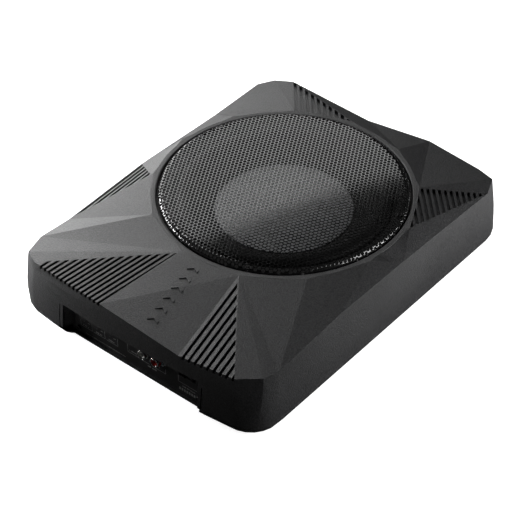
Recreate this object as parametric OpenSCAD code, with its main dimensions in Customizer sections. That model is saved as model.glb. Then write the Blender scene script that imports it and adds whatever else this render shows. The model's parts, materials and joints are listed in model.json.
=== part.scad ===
// Powered under-seat car subwoofer: a faceted cast housing with cooling grooves, a base tray,
// an eight-inch shallow woofer behind a domed perforated grille, and an amplifier with its
// connectors and controls in a recess of the front face.
// Millimetres. X is the width, Y the length (front is -Y), Z is up, and the underside is z = 0.

/* [Enclosure] */
// Width of the faceted upper rim
rim_w = 250; // [246:1:254]
// Length of the faceted upper rim
rim_l = 325; // [320:1:330]
// Height of the upper rim above the underside
rim_z = 55; // [53:1:58]
// Rise of the flat ring round the grille above the rim
crown_rise = 11.8; // [10:0.2:13]
// Width of the body at the parting line
base_w = 257; // [255:1:260]
// Length of the body at the parting line, without the bow of its ends
base_l = 334; // [331:1:337]
// How far the front and back faces bow outward
end_bow = 6; // [4:0.5:7]
// Height of the parting line between tray and housing
part_z = 9.2; // [8.5:0.1:10]
// Wall of the housing's sides
side_wall = 3; // [2.5:0.1:3.5]
// Wall of the housing's faceted top
top_wall = 4.4; // [4:0.1:5]
// Plan radius of the body's lower corners
corner_r = 26; // [22:1:30]

/* [Cooling grooves] */
// Depth of the grooves below their facet
groove_depth = 2.6; // [1.5:0.1:2.8]

/* [Woofer] */
// Distance of the woofer's axis behind the middle of the body
woofer_y = 24; // [22:1:26]
// Radius of the opening round the grille
opening_r = 106; // [106:0.5:107]
// Outer radius of the basket's flange
flange_r = 105.4; // [105:0.1:105.6]
// Outer radius of the cone
cone_r = 77; // [76:0.5:78]
// Radius of the dust cap
cap_r = 58; // [50:1:60]
// Radius of the voice-coil former
coil_r = 19.4; // [19:0.1:19.6]
// Outer radius of the magnet
magnet_r = 50; // [46:1:52]

/* [Connector recess] */
// Height of the recess's upper edge at its left end
recess_top_left = 32; // [31.5:0.1:33]
// Height of the recess's upper edge at its right end
recess_top_right = 35.6; // [35:0.1:37]
// Distance of the panel's face in front of the body's middle
panel_y = 160; // [159:0.5:161]
// Radius of the three control knobs
knob_r = 4; // [3.5:0.1:4.2]
// Distance between the two RCA jacks
rca_pitch = 13.4; // [13:0.1:14]

/* [Fixings] */
// Distance between the mounting inserts across the width
mount_dx = 180; // [160:5:190]
// Distance between the mounting inserts along the length
mount_dy = 250; // [230:5:260]

/* [Hidden] */
$fn = 96;
eps = 0.01;

crown_z = rim_z + crown_rise;
half_w = rim_w / 2;
half_l = rim_l / 2;

// ---------- faceted body ----------

function mix(a, b, t) = a + (b - a) * t;

// Rim vertices counter-clockwise from the front left corner: [x, y, height above the rim]
rim = [
    [-half_w + 19, -half_l, 0],        // 0 front edge, left end
    [-30.5, -half_l - 4, 1],           // 1 front edge, left kink
    [51.5, -half_l - 4, -5],           // 2 front edge, right kink
    [half_w - 20.5, -half_l, 0],       // 3 front edge, right end
    [half_w - 4, -half_l + 14, 0],     // 4 front right corner
    [half_w, -half_l + 27.5, 0],       // 5 right edge, front end
    [half_w - 0.4, -59.5, 5],          // 6 right edge, raised peak
    [half_w - 0.3, 22, 4],             // 7 right edge, shallow kink
    [half_w, half_l - 22.5, 0],        // 8 right edge, back end
    [half_w - 8, half_l - 4, 0],       // 9 back right corner
    [half_w - 24.5, half_l, 0],        // 10 back edge, right end
    [46, half_l + 4, 1.5],             // 11 back edge, right kink
    [-19, half_l + 2.5, -6],           // 12 back edge, left kink
    [-half_w + 22.5, half_l, 0],       // 13 back edge, left end
    [-half_w + 8, half_l - 9, 0],      // 14 back left corner
    [-half_w, half_l - 23, 0],         // 15 left edge, back end
    [-half_w, 80, -1],                 // 16 left edge, back kink
    [-half_w, -15, 2],                 // 17 left edge, middle kink
    [-half_w, -104, -2.3],             // 18 left edge, front kink
    [-half_w, -half_l + 26, 0],        // 19 left edge, front end
    [-half_w + 5.5, -half_l + 6, 0]    // 20 front left corner
];
RIM_N = len(rim);

// The flat ring's outer edge is a regular polygon round the woofer's axis
CROWN_N = 13;
crown_r = 112.5;
function crown_vertex(k, r = crown_r, z = crown_z) =
    [r * cos(180 + k * 360 / CROWN_N), woofer_y + r * sin(180 + k * 360 / CROWN_N), z];

// How many pieces each rim edge is cut into, so that the wall below it can bow and round off
cuts = [3, 3, 2, 3, 3, 1, 1, 1, 3, 3, 2, 2, 3, 3, 3, 1, 1, 1, 1, 3, 3];
// The crown vertex that the facet on each rim edge rises to
apex_of_edge = [3, 4, 4, 4, 4, 5, 6, 7, 8, 8, 8, 9, 10, 11, 11, 11, 0, 1, 2, 3, 3];
// The rim vertex that the facet on each crown edge falls to
foot_of_edge = [17, 18, 19, 1, 5, 6, 7, 8, 11, 12, 13, 16, 16];

stations = [for (i = [0 : RIM_N - 1]) for (j = [0 : cuts[i] - 1]) [i, j / cuts[i]]];
ST_N = len(stations);
function station_of(vertex) = search(vertex, [for (s = stations) s[1] == 0 ? s[0] : -1])[0];

function rim_point(s) = mix(rim[s[0]], rim[(s[0] + 1) % RIM_N], s[1]);

// Corner arcs of the lower outline: [first rim vertex, sign of x, sign of y, start angle]
corner_arcs = [[3, 1, -1, -90], [8, 1, 1, 0], [13, -1, 1, 90], [19, -1, -1, 180]];
function arc_of(i) = [for (c = corner_arcs) if (i == c[0] || i == (c[0] + 1) % RIM_N) c];
function lower_point(s) =
    let (p = rim_point(s), c = arc_of(s[0]), hw = base_w / 2, hl = base_l / 2)
    len(c) > 0
        ? let (a = c[0][3] + 90 * (((s[0] - c[0][0] + RIM_N) % RIM_N) + s[1]) / 2)
          [c[0][1] * (hw - corner_r) + corner_r * cos(a), c[0][2] * (hl - corner_r) + corner_r * sin(a)]
        : abs(p[1]) > half_l - 1
            ? [p[0], sign(p[1]) * (hl + end_bow * max(0, 1 - pow(p[0] / (hw - corner_r), 2)))]
            : [sign(p[0]) * hw, p[1]];

// One ring of the outer wall, t = 0 at the rim and 1 at the parting line, drawn in by inset
function wall_ring(t, inset, drop) = [
    for (s = stations)
        let (p = rim_point(s), q = lower_point(s), round = t * t,
             x = mix(p[0] * mix(1, base_w / rim_w, t), q[0], round),
             y = mix(p[1] * mix(1, base_l / rim_l, t), q[1], round))
        [x * (1 - 2 * inset / base_w), y * (1 - 2 * inset / base_l),
         mix(rim_z + p[2] - drop, part_z - (drop > 0 ? 1 : 0), t)]
];

function side_faces(rings, n) = [
    for (k = [0 : rings - 2]) for (i = [0 : n - 1])
        let (a = k * n + i, b = k * n + (i + 1) % n)
        for (f = [[a, b, b + n], [a, b + n, a + n]]) f
];

WALL_RINGS = 6;
// The faceted body as one closed solid; inset and drop shrink it to make the hollow inside
module faceted_body(inset = 0, drop = 0) {
    rings = [for (k = [0 : WALL_RINGS - 1]) each wall_ring(k / (WALL_RINGS - 1), inset, drop)];
    crown_first = WALL_RINGS * ST_N;
    crown = [for (k = [0 : CROWN_N - 1]) crown_vertex(k, crown_r - inset, crown_z - drop)];
    rim_facets = [for (i = [0 : ST_N - 1]) [(i + 1) % ST_N, i, crown_first + apex_of_edge[stations[i][0]]]];
    crown_facets = [for (k = [0 : CROWN_N - 1])
        [crown_first + k, crown_first + (k + 1) % CROWN_N, station_of(foot_of_edge[k])]];
    floor_face = [for (i = [0 : ST_N - 1]) (WALL_RINGS - 1) * ST_N + i];
    top_face = [for (k = [CROWN_N - 1 : -1 : 0]) crown_first + k];
    polyhedron(concat(rings, crown), concat(side_faces(WALL_RINGS, ST_N), rim_facets, crown_facets,
                                            [floor_face, top_face]), convexity = 8);
}

// A prism under a facet: from depth below the facet's plane to height above it
module facet_prism(a, b, c, depth, height) {
    down = [0, 0, depth];
    up = [0, 0, height];
    polyhedron([a - down, b - down, c - down, a + up, b + up, c + up],
               [[0, 1, 2], [5, 4, 3], [0, 3, 4, 1], [1, 4, 5, 2], [2, 5, 3, 0]]);
}

function rim_vertex(i) = rim[i] + [0, 0, rim_z];
function beyond(tip, p, k) = tip + (p - tip) * k;

// Parallel grooves in a facet. They run along angle, and step from the point origin.
module grooves(a, b, c, origin, angle, first, pitch, width, count) {
    short_of_tip = 0.96;
    intersection() {
        facet_prism(a, b, beyond((a + b) / 2, c, short_of_tip), groove_depth, 6);
        union() for (i = [0 : count - 1])
            translate([origin[0], origin[1], 30]) rotate(angle)
                translate([-110, first + i * pitch, 0]) cube([220, width, 50]);
    }
}

function heading(a, b) = atan2(b[1] - a[1], b[0] - a[0]);

module all_grooves() {
    past_rim = 1.12;
    front_left_tip = crown_vertex(3);
    grooves(beyond(front_left_tip, rim_vertex(0), past_rim), beyond(front_left_tip, rim_vertex(1), past_rim),
            front_left_tip, rim_vertex(1), heading(rim_vertex(1), front_left_tip), 0.2, 4.68, 2.55, 15);
    front_right_tip = crown_vertex(4);
    grooves(beyond(front_right_tip, rim_vertex(2), past_rim), beyond(front_right_tip, rim_vertex(3), past_rim),
            front_right_tip, rim_vertex(2), heading(rim_vertex(2), front_right_tip), -5.9, -5.9, 2.7, 9);
    grooves(crown_vertex(7), rim_vertex(8), crown_vertex(8), crown_vertex(8), -46, -14.7, 4.95, 2.7, 15);
    grooves(rim_vertex(13), crown_vertex(11), crown_vertex(10), rim_vertex(13),
            heading(rim_vertex(13), crown_vertex(11)), 0.2, 5, 2.9, 10);
    grooves(rim_vertex(17), rim_vertex(18), crown_vertex(1), rim_vertex(17),
            heading(rim_vertex(17), rim_vertex(18)), 1.6, 4.7, 2.9, 5);
}

// Plan outline of the connector recess, grown by extra on its inner sides
recess_left = -72;
recess_right = 72;
panel_left = -67.5;
panel_right = 68;
module recess_outline(extra = 0, face = panel_y) {
    polygon([[recess_left - extra, -190], [recess_right + extra, -190], [recess_right + extra, -169],
             [panel_right + extra, -face], [panel_left - extra, -face], [recess_left - extra, -167]]);
}

// The recess as a solid, grown by extra on its sides and above
module recess_block(bottom, extra = 0) intersection() {
    translate([0, 0, bottom]) linear_extrude(60) recess_outline(extra);
    translate([0, -100, 0]) rotate([90, 0, 0]) linear_extrude(100) polygon([
        [recess_left - 10, -10], [recess_right + 10, -10],
        [recess_right + 10, recess_top_right + extra], [recess_left - 10, recess_top_left + extra]]);
}

screw_posts = [[-112, -112], [-112, 0], [-112, 118], [112, -112], [112, 0], [112, 118], [-60, 151], [60, 151]];
post_r = 4.6;
seat_z = crown_z - 6.3;
seat_t = 4;
seat_r = 95.5;

module upper_housing() color("#4a4c4f") {
    border_w = 1;
    border_depth = 0.9;
    cheek = 2.4;
    post_bore_r = 1.6;
    edge_round = 1.6;
    emblem_rise = 0.8;
    emblem_at = [10, -124];
    emblem_pitch = 11.2;
    difference() {
        union() {
            difference() {
                faceted_body();
                faceted_body(side_wall, top_wall);
            }
            // walls round the connector recess
            intersection() {
                faceted_body();
                recess_block(part_z, cheek);
            }
            // seat for the woofer's flange
            translate([0, woofer_y, seat_z - seat_t]) difference() {
                cylinder(h = crown_z - seat_z + seat_t - eps, r = opening_r + 4.6, $fn = 180);
                translate([0, 0, -1]) cylinder(h = crown_z, r = seat_r, $fn = 180);
            }
            // posts for the screws from below
            intersection() {
                faceted_body();
                for (p = screw_posts) translate([p[0], p[1], part_z])
                    cylinder(h = rim_z, r = post_r, $fn = 32);
            }
            // emblem of plain chevrons across the front crease
            intersection() {
                union() {
                    facet_prism(rim_vertex(1), crown_vertex(4), crown_vertex(3), top_wall / 2, emblem_rise);
                    facet_prism(rim_vertex(1), rim_vertex(2), crown_vertex(4), top_wall / 2, emblem_rise);
                }
                translate([emblem_at[0], emblem_at[1], 40]) rotate(heading(rim_vertex(2), crown_vertex(4)))
                    for (i = [-2.5 : 2.5]) translate([i * emblem_pitch - 2.5, 0, 0]) linear_extrude(40)
                        polygon([[-0.6, -4.7], [2.2, -4.7], [5.4, 0], [2.2, 4.7], [-0.6, 4.7], [2.6, 0]]);
            }
        }
        recess_block(-1);
        translate([0, woofer_y, seat_z]) cylinder(h = 30, r = opening_r, $fn = 180);
        translate([0, woofer_y, crown_z]) rotate_extrude($fn = 180)
            polygon(concat([[opening_r - 1, 1], [opening_r - 1, -edge_round]],
                           [for (a = [0 : 15 : 90])
                               [opening_r + edge_round * (1 - cos(a)), -edge_round * (1 - sin(a))]],
                           [[opening_r + edge_round, 1]]));
        all_grooves();
        for (x = [recess_left - 4, recess_right + 3]) translate([x, -175, part_z - 1])
            cube([border_w, 175 - (base_l + rim_l) / 4 - 2.6 + border_depth, recess_top_left - part_z]);
        for (p = screw_posts) translate([p[0], p[1], part_z - 1]) cylinder(h = 30, r = post_bore_r, $fn = 32);
        woofer_screw_places() translate([0, 0, seat_z - seat_t - 1])
            cylinder(h = seat_t + 2, r = 1.5, $fn = 24);
    }
}

// ---------- base tray ----------

TRAY_RINGS = 7;
bottom_inset = 8.5;
function tray_ring(k) =
    let (a = 90 * k / (TRAY_RINGS - 1), inset = bottom_inset * (1 - cos(a)), z = part_z - 0.4)
    [for (s = stations) let (q = lower_point(s))
        [q[0] * (1 - 2 * inset / base_w), q[1] * (1 - 2 * inset / base_l), z * (1 - sin(a))]];

module tray_body() {
    rings = [for (k = [0 : TRAY_RINGS - 1]) each tray_ring(k)];
    polyhedron(rings, concat(side_faces(TRAY_RINGS, ST_N),
        [[for (i = [ST_N - 1 : -1 : 0]) i], [for (i = [0 : ST_N - 1]) (TRAY_RINGS - 1) * ST_N + i]]));
}

// Outline of the parting line, drawn in by inset
module parting_outline(inset) {
    polygon([for (s = stations) let (q = lower_point(s))
        [q[0] * (1 - 2 * inset / base_w), q[1] * (1 - 2 * inset / base_l)]]);
}

floor_t = 2.5;
screw_head_r = 3.4;
screw_head_z = 2.6;
screw_head_t = 2;
insert_r = 4;
insert_bore_r = 2.1;
module mount_places() {
    for (x = [-mount_dx / 2, mount_dx / 2], y = [-mount_dy / 2, mount_dy / 2]) translate([x, y, 0]) children();
}

module base_tray() color("#3d3f41") {
    lip_t = 1.8;
    lip_gap = 0.3;
    lip_h = 3;
    pad_r = 8;
    pad_h = 6;
    recess_lip = 2.2;
    cut_clear = 5;
    boss_r = 5.2;
    difference() {
        union() {
            difference() {
                tray_body();
                translate([0, 0, floor_t]) linear_extrude(part_z) parting_outline(10.5);
            }
            // lip that stands up inside the housing's wall
            translate([0, 0, floor_t + 1]) linear_extrude(part_z - floor_t - 1 + lip_h) difference() {
                parting_outline(side_wall + lip_gap + 1);
                parting_outline(side_wall + lip_gap + 1 + lip_t);
            }
            mount_places() cylinder(h = pad_h, r = pad_r, $fn = 48);
            for (p = screw_posts) translate([p[0], p[1], 0.5])
                cylinder(h = part_z - 0.6, r = boss_r, $fn = 48);
        }
        translate([0, 0, -1]) linear_extrude(20) recess_outline(0, panel_y + recess_lip);
        translate([0, 0, floor_t]) linear_extrude(20) recess_outline(cut_clear, panel_y - 3);
        mount_places() translate([0, 0, -1]) cylinder(h = pad_h + 2, r = insert_r, $fn = 48);
        for (p = screw_posts) translate([p[0], p[1], -1]) {
            cylinder(h = 12, r = 2.1, $fn = 32);
            cylinder(h = screw_head_z + screw_head_t + 1, r = screw_head_r + 0.3, $fn = 48);
        }
    }
}

module mount_inserts() color("#b8963c") {
    bore_depth = 6;
    mount_places() translate([0, 0, 0.3]) difference() {
        cylinder(h = bore_depth + 0.9, r = insert_r, $fn = 48);
        translate([0, 0, -1]) cylinder(h = bore_depth + 1, r = insert_bore_r, $fn = 48);
    }
}

module housing_screws() color("#202022") {
    for (p = screw_posts) translate([p[0], p[1], screw_head_z]) difference() {
        union() {
            cylinder(h = screw_head_t, r = screw_head_r, $fn = 48);
            cylinder(h = 22, r = 1.6, $fn = 32);
        }
        translate([0, 0, -1]) cylinder(h = 2.2, r = 1.5, $fn = 6);
    }
}

// ---------- grille and woofer ----------

flange_t = 1.5;
gasket_t = 1;
flange_top = seat_z + gasket_t + flange_t;
grille_r = 104.4;
grille_fold = 5;
grille_rise = 3.9;
dome_rise = 3;
mesh_t = 1;

// Moves a shape drawn round the woofer's axis into place
module at_woofer() translate([0, woofer_y, 0]) children();

// Radius of the sphere that the grille's dome is cut from
dome_r = (pow(grille_r - grille_fold, 2) + pow(dome_rise, 2)) / (2 * dome_rise);
// Section of the pressed grille: dome, rolled edge and skirt
module grille_profile() {
    edge_z = crown_z + grille_rise;
    intersection() {
        translate([0, edge_z + dome_rise - dome_r]) difference() {
            circle(dome_r, $fn = 720);
            circle(dome_r - mesh_t, $fn = 720);
        }
        translate([0, edge_z - 2]) square([grille_r - grille_fold + 0.2, dome_rise + 3]);
    }
    skirt_h = edge_z - grille_fold - flange_top;
    translate([grille_r - mesh_t, flange_top]) square([mesh_t, skirt_h + 0.2]);
    translate([grille_r - grille_fold, flange_top + skirt_h]) intersection() {
        difference() {
            circle(grille_fold, $fn = 96);
            circle(grille_fold - mesh_t, $fn = 96);
        }
        square(2 * grille_fold);
    }
}

// Pressed steel grille with its perforation
module grille_mesh() color("#1b1b1c") {
    hole_pitch = 12.4;
    hole_r = 3.6;
    rows = 7;
    at_woofer() difference() {
        rotate_extrude($fn = 180) grille_profile();
        for (i = [-rows : rows], j = [-rows : rows])
            let (x = hole_pitch * (i + j / 2), y = hole_pitch * j * sqrt(3) / 2)
            if (norm([x, y]) < grille_r - 10)
                translate([x, y, crown_z]) cylinder(h = 12, r = hole_r, $fn = 24);
    }
}

// Ring that holds the grille's skirt on the flange
module grille_seat_ring() color("#262628") at_woofer() translate([0, 0, flange_top]) difference() {
    cylinder(h = 1.2, r = grille_r + 1.4, $fn = 180);
    translate([0, 0, -1]) cylinder(h = 4, r = grille_r + 0.05, $fn = 180);
}

// Foam ring between the basket's flange and its seat
module flange_gasket() color("#151515") at_woofer() translate([0, 0, seat_z]) difference() {
    cylinder(h = gasket_t, r = flange_r - 0.5, $fn = 180);
    translate([0, 0, -1]) cylinder(h = 5, r = seat_r + 0.2, $fn = 180);
    for (i = [0 : 7]) rotate(22.5 + 45 * i) translate([woofer_screw_r, 0, -1])
        cylinder(h = 5, r = 1.8, $fn = 24);
}

woofer_screw_r = 98.4;
module woofer_screw_places() at_woofer() for (i = [0 : 7]) rotate(22.5 + 45 * i)
    translate([woofer_screw_r, 0, 0]) children();

module woofer_screws() color("#101012") woofer_screw_places() {
    translate([0, 0, seat_z - seat_t + 0.2]) cylinder(h = flange_top - seat_z + seat_t, r = 1.45, $fn = 24);
    translate([0, 0, flange_top]) difference() {
        cylinder(h = 1.6, r = 2.2, $fn = 32);
        translate([0, 0, 0.8]) cylinder(h = 1, r = 1.1, $fn = 6);
    }
}

gap_r = coil_r + 1.3;
plate_z = 30;
plate_t = 6;
magnet_z = 16;
yoke_z = 9;
spider_z = 42.2;
landing_z = 60.6;
neck_z = 49;
cap_seat_z = 48;
cone_edge_z = 60.5;

// Height of the cone's upper face at radius r
function cone_z(r) = r < cap_r + 1
    ? mix(neck_z, cap_seat_z, (r - coil_r) / (cap_r + 1 - coil_r))
    : mix(cap_seat_z, cone_edge_z, (r - cap_r - 1) / (cone_r - cap_r - 1));

// Pressed steel basket: flange, landing for the surround, six windows and the ring over the magnet
module woofer_basket() color("#2b2d30") at_woofer() difference() {
    sheet = 1.6;
    rotate_extrude($fn = 180) polygon([
        [flange_r, flange_top - flange_t], [flange_r, flange_top], [93.8, flange_top], [93.8, landing_z],
        [88, landing_z], [60, spider_z], [51.6, spider_z], [49, plate_z + plate_t + sheet],
        [gap_r + 4, plate_z + plate_t + sheet], [gap_r + 4, plate_z + plate_t], [50, plate_z + plate_t],
        [52.8, spider_z - sheet], [60.6, spider_z - sheet], [88.6, landing_z - sheet],
        [95.2, landing_z - sheet], [95.2, flange_top - flange_t]]);
    for (i = [0 : 5]) rotate(30 + 60 * i) translate([62.5, -21, plate_z])
        cube([23.5, 42, landing_z - plate_z - 2]);
    for (i = [0 : 7]) rotate(22.5 + 45 * i) translate([woofer_screw_r, 0, seat_z])
        cylinder(h = 6, r = 1.7, $fn = 24);
}

// Half-roll rubber surround from the landing to the cone's edge
module surround() color("#17171a") at_woofer() rotate_extrude($fn = 144) {
    roll_in = cone_r;
    roll_out = 91;
    roll_h = 5.2;
    skin = 0.9;
    mid = (roll_in + roll_out) / 2;
    half = (roll_out - roll_in) / 2;
    steps = 14;
    outer = [for (i = [0 : steps])
        [mid - half * cos(180 * i / steps), landing_z + skin + roll_h * sin(180 * i / steps)]];
    inner = [for (i = [steps : -1 : 0])
        [mid - (half - skin) * cos(180 * i / steps), landing_z + (roll_h - skin) * sin(180 * i / steps)]];
    polygon(concat(outer, [[93.5, landing_z + skin], [93.5, landing_z]], inner,
                   [[cone_r - 3, cone_z(cone_r - 3) + 0.05], [cone_r - 3, landing_z + skin]]));
}

cone_t = 0.9;
module cone() color("#232428") at_woofer() rotate_extrude($fn = 144)
    polygon([[coil_r, neck_z - cone_t], [cap_r + 1, cap_seat_z - cone_t], [cone_r, cone_edge_z - cone_t],
             [cone_r, cone_edge_z - 0.4], [cap_r + 1, cap_seat_z], [coil_r, neck_z]]);

// Large shallow cap glued on the cone
module dust_cap() color("#8f9294") at_woofer() {
    rise = 4.6;
    rim_h = cone_z(cap_r);
    cap_sphere = (pow(cap_r, 2) + pow(rise, 2)) / (2 * rise);
    rotate_extrude($fn = 144) intersection() {
        translate([0, rim_h + rise - cap_sphere + 0.6]) difference() {
            circle(cap_sphere, $fn = 360);
            circle(cap_sphere - 0.9, $fn = 360);
        }
        translate([0, rim_h + 0.1]) square([cap_r, rise + 2]);
    }
}

module voice_coil_former() color("#c9a86a") at_woofer() translate([0, 0, 22]) difference() {
    cylinder(h = neck_z - 22, r = coil_r, $fn = 96);
    translate([0, 0, -1]) cylinder(h = 40, r = coil_r - 0.4, $fn = 96);
}

module voice_coil_winding() color("#a5562a") at_woofer() translate([0, 0, 27]) difference() {
    cylinder(h = 12, r = coil_r + 0.8, $fn = 96);
    translate([0, 0, -1]) cylinder(h = 20, r = coil_r, $fn = 96);
}

// Corrugated cloth that centres the coil
module spider() color("#b98d3e") at_woofer() rotate_extrude($fn = 96) {
    inner_r = coil_r;
    outer_r = 59;
    waves = 4;
    wave_h = 0.7;
    cloth = 0.5;
    steps = 40;
    upper = [for (i = [0 : steps]) [mix(inner_r + 2, outer_r - 8, i / steps),
                                    spider_z + cloth + wave_h * sin(360 * waves * i / steps)]];
    lower = [for (i = [steps : -1 : 0]) upper[i] - [0, cloth]];
    polygon(concat([[inner_r, spider_z], [inner_r, spider_z + cloth]], upper,
                   [[outer_r, spider_z + cloth], [outer_r, spider_z]], lower));
}

module top_plate() color("#9a9c9f") at_woofer() translate([0, 0, plate_z]) difference() {
    cylinder(h = plate_t, r = magnet_r - 4, $fn = 144);
    translate([0, 0, -1]) cylinder(h = plate_t + 2, r = gap_r, $fn = 96);
}

module magnet() color("#3a3a3c") at_woofer() translate([0, 0, magnet_z]) difference() {
    cylinder(h = plate_z - magnet_z, r = magnet_r, $fn = 144);
    translate([0, 0, -1]) cylinder(h = 40, r = coil_r + 5, $fn = 96);
}

module pole_yoke() color("#8d9093") at_woofer() translate([0, 0, yoke_z]) difference() {
    union() {
        cylinder(h = magnet_z - yoke_z, r = magnet_r - 4, $fn = 144);
        cylinder(h = plate_z + plate_t - yoke_z, r = coil_r - 1.1, $fn = 96);
    }
    translate([0, 0, -1]) cylinder(h = 60, r = 5, $fn = 48);
}

module terminal_block() color("#1f1f22") at_woofer() translate([0, -83, 0]) {
    translate([-9, -3, 51.5]) cube([18, 3, 7]);
    for (x = [-6, 6]) translate([x - 1.6, -9, 53]) cube([3.2, 6, 0.8]);
}

// A round wire along hand-placed points
WIRE_SIDES = 8;
function along(path, i) =
    let (a = path[max(i - 1, 0)], b = path[min(i + 1, len(path) - 1)], d = b - a) d / norm(d);
function wire_ring(path, i, r) =
    let (d = along(path, i), side = cross(d, [1, 0, 0]), u = side / norm(side), v = cross(d, u))
    [for (k = [0 : WIRE_SIDES - 1])
        path[i] + r * (cos(360 * k / WIRE_SIDES) * u + sin(360 * k / WIRE_SIDES) * v)];
module wire(path, r) {
    n = len(path);
    points = [for (i = [0 : n - 1]) each wire_ring(path, i, r)];
    sides = [for (f = side_faces(n, WIRE_SIDES)) [f[0], f[2], f[1]]];
    polyhedron(points, concat(sides,
        [[for (k = [0 : WIRE_SIDES - 1]) k], [for (k = [WIRE_SIDES - 1 : -1 : 0]) (n - 1) * WIRE_SIDES + k]]));
}

module tinsel_leads() color("#c07a4a") at_woofer()
    for (x = [-6, 6])
        wire([[x, -82.9, 55.5], [x, -79.5, 54.2], [x, -75, 52.8], [x, -70, 51.8], [x, -66, 51.2]], 0.6);

module speaker_wires() color("#a02020") at_woofer()
    for (x = [-6, 6]) wire([[x, -92.1, 53.4], [x, -98, 51.5], [x, -104, 46], [x, -108, 38], [x, -112, 30],
                            [x, -115, 23], [x, -116, 18]], 1.2);

// ---------- connector panel ----------

panel_t = 1.6;
knob_xs = [-54.6, -40.6, -26.6];
knob_z = 26;
shaft_r = 1.5;
rca_mid = 15.3;
rca_xs = [rca_mid - rca_pitch / 2, rca_mid + rca_pitch / 2];
rca_z = 22;
rca_out_r = 4.15;
rca_in_r = 3.3;
power_x = 55.5;
remote_x = -3.5;
socket_z = 27.5;
led_pos = [29.2, 22.6];
panel_screws_at = [[rca_mid + 1.5, 15.6], [-63.5, 7.5], [64.5, 7.5], [-63.5, 29.5], [39, 29.5]];

// Puts a shape drawn with +Z outward on the panel's face at (x, z)
module on_panel(x, z) translate([x, -panel_y, z]) rotate([90, 0, 0]) children();

// Flat panel at the back of the recess, with a hole for each control and socket
module connector_panel() color("#1c1d1f") difference() {
    translate([panel_left - 4, -panel_y, floor_t + 0.1]) cube([panel_right - panel_left + 8, panel_t, 43]);
    for (x = knob_xs) on_panel(x, knob_z) translate([0, 0, -5]) cylinder(h = 10, r = 3.2, $fn = 48);
    for (x = rca_xs) on_panel(x, rca_z) translate([0, 0, -5]) cylinder(h = 10, r = rca_in_r + 0.05, $fn = 48);
    on_panel(power_x, socket_z) translate([-10, -5, -5]) cube([20, 10, 10]);
    on_panel(remote_x, socket_z) translate([-6, -4.2, -5]) cube([12, 8.4, 10]);
    on_panel(led_pos[0], led_pos[1]) translate([0, 0, -5]) cylinder(h = 10, r = 1.5, $fn = 32);
    for (p = panel_screws_at) on_panel(p[0], p[1]) translate([0, 0, -5]) cylinder(h = 10, r = 1.2, $fn = 24);
}

module panel_screws() color("#0c0c0d") for (p = panel_screws_at) on_panel(p[0], p[1]) difference() {
    union() {
        cylinder(h = 1.3, r = 2.1, $fn = 32);
        translate([0, 0, -5]) cylinder(h = 5.5, r = 1.2, $fn = 24);
    }
    translate([0, 0, 0.5]) cylinder(h = 1, r = 1, $fn = 6);
}

board_z = 8;
board_t = 1.6;
board_top = board_z + board_t;

// Moulded body behind the two jacks, standing on the board
module rca_block() color("#141416") difference() {
    translate([rca_mid - 12, -panel_y + panel_t, board_top]) cube([24, 15, 20]);
    for (x = rca_xs) on_panel(x, rca_z) translate([0, 0, -8]) cylinder(h = 10, r = rca_in_r, $fn = 48);
    on_panel(panel_screws_at[0][0], panel_screws_at[0][1]) translate([0, 0, -7])
        cylinder(h = 10, r = 1.2, $fn = 24);
}

rca_disc_t = 1.2;
rca_len = 2.6;
// Outer contacts of the two jacks
module rca_sleeves() color("#c4c6c8") for (x = rca_xs) on_panel(x, rca_z)
    translate([0, 0, rca_disc_t]) difference() {
        cylinder(h = rca_len, r = rca_out_r, $fn = 64);
        translate([0, 0, -1]) cylinder(h = 20, r = rca_in_r, $fn = 64);
    }

// Coloured insulator: a disc behind the sleeve, a core inside it and a stub through the panel
module rca_insert(x) on_panel(x, rca_z) difference() {
    union() {
        cylinder(h = rca_disc_t, r = 4.9, $fn = 64);
        translate([0, 0, -7.9]) cylinder(h = 7.9 + rca_disc_t + rca_len - 1, r = rca_in_r, $fn = 64);
    }
    translate([0, 0, -6]) cylinder(h = 30, r = 1.6, $fn = 32);
}
module rca_insert_white() color("#e9e9e6") rca_insert(rca_xs[0]);
module rca_insert_red() color("#c01818") rca_insert(rca_xs[1]);

// Four-way power and speaker socket with its latch notch
module power_connector() color("#0f0f10") difference() {
    union() {
        on_panel(power_x, socket_z) translate([-10, -5, -14]) cube([20, 10, 16]);
        translate([power_x - 10, -panel_y + panel_t, board_top]) cube([20, 12.4, 20]);
    }
    on_panel(power_x, socket_z) translate([-8.6, -3.8, -7]) cube([17.2, 7.6, 20]);
    on_panel(power_x, socket_z) translate([-2.6, -6, -0.6]) cube([5.2, 4, 20]);
}
module power_pins() color("#d0b060") for (i = [-1.5 : 1 : 1.5])
    on_panel(power_x + i * 4.2, socket_z) translate([0, 0, -7]) cylinder(h = 3.4, r = 1, $fn = 24);

// Small socket for a remote level control
module remote_socket() color("#0f0f10") difference() {
    union() {
        on_panel(remote_x, socket_z) translate([-6, -4.2, -14]) cube([12, 8.4, 15.4]);
        translate([remote_x - 6, -panel_y + panel_t, board_top]) cube([12, 12.4, 20]);
    }
    on_panel(remote_x, socket_z) translate([-4.8, -3, -8]) cube([9.6, 6, 20]);
}
module remote_pins() color("#d0b060") for (i = [-1.5 : 1 : 1.5])
    on_panel(remote_x + i * 2, socket_z) translate([-0.3, -3, -8]) cube([0.6, 1.6, 4]);

module power_led() color("#dfe8ee") on_panel(led_pos[0], led_pos[1]) {
    translate([0, 0, -6]) cylinder(h = 6.6, r = 1.5, $fn = 32);
    translate([0, 0, 0.6]) intersection() {
        sphere(1.5, $fn = 32);
        translate([-2, -2, 0]) cube(4);
    }
}

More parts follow.
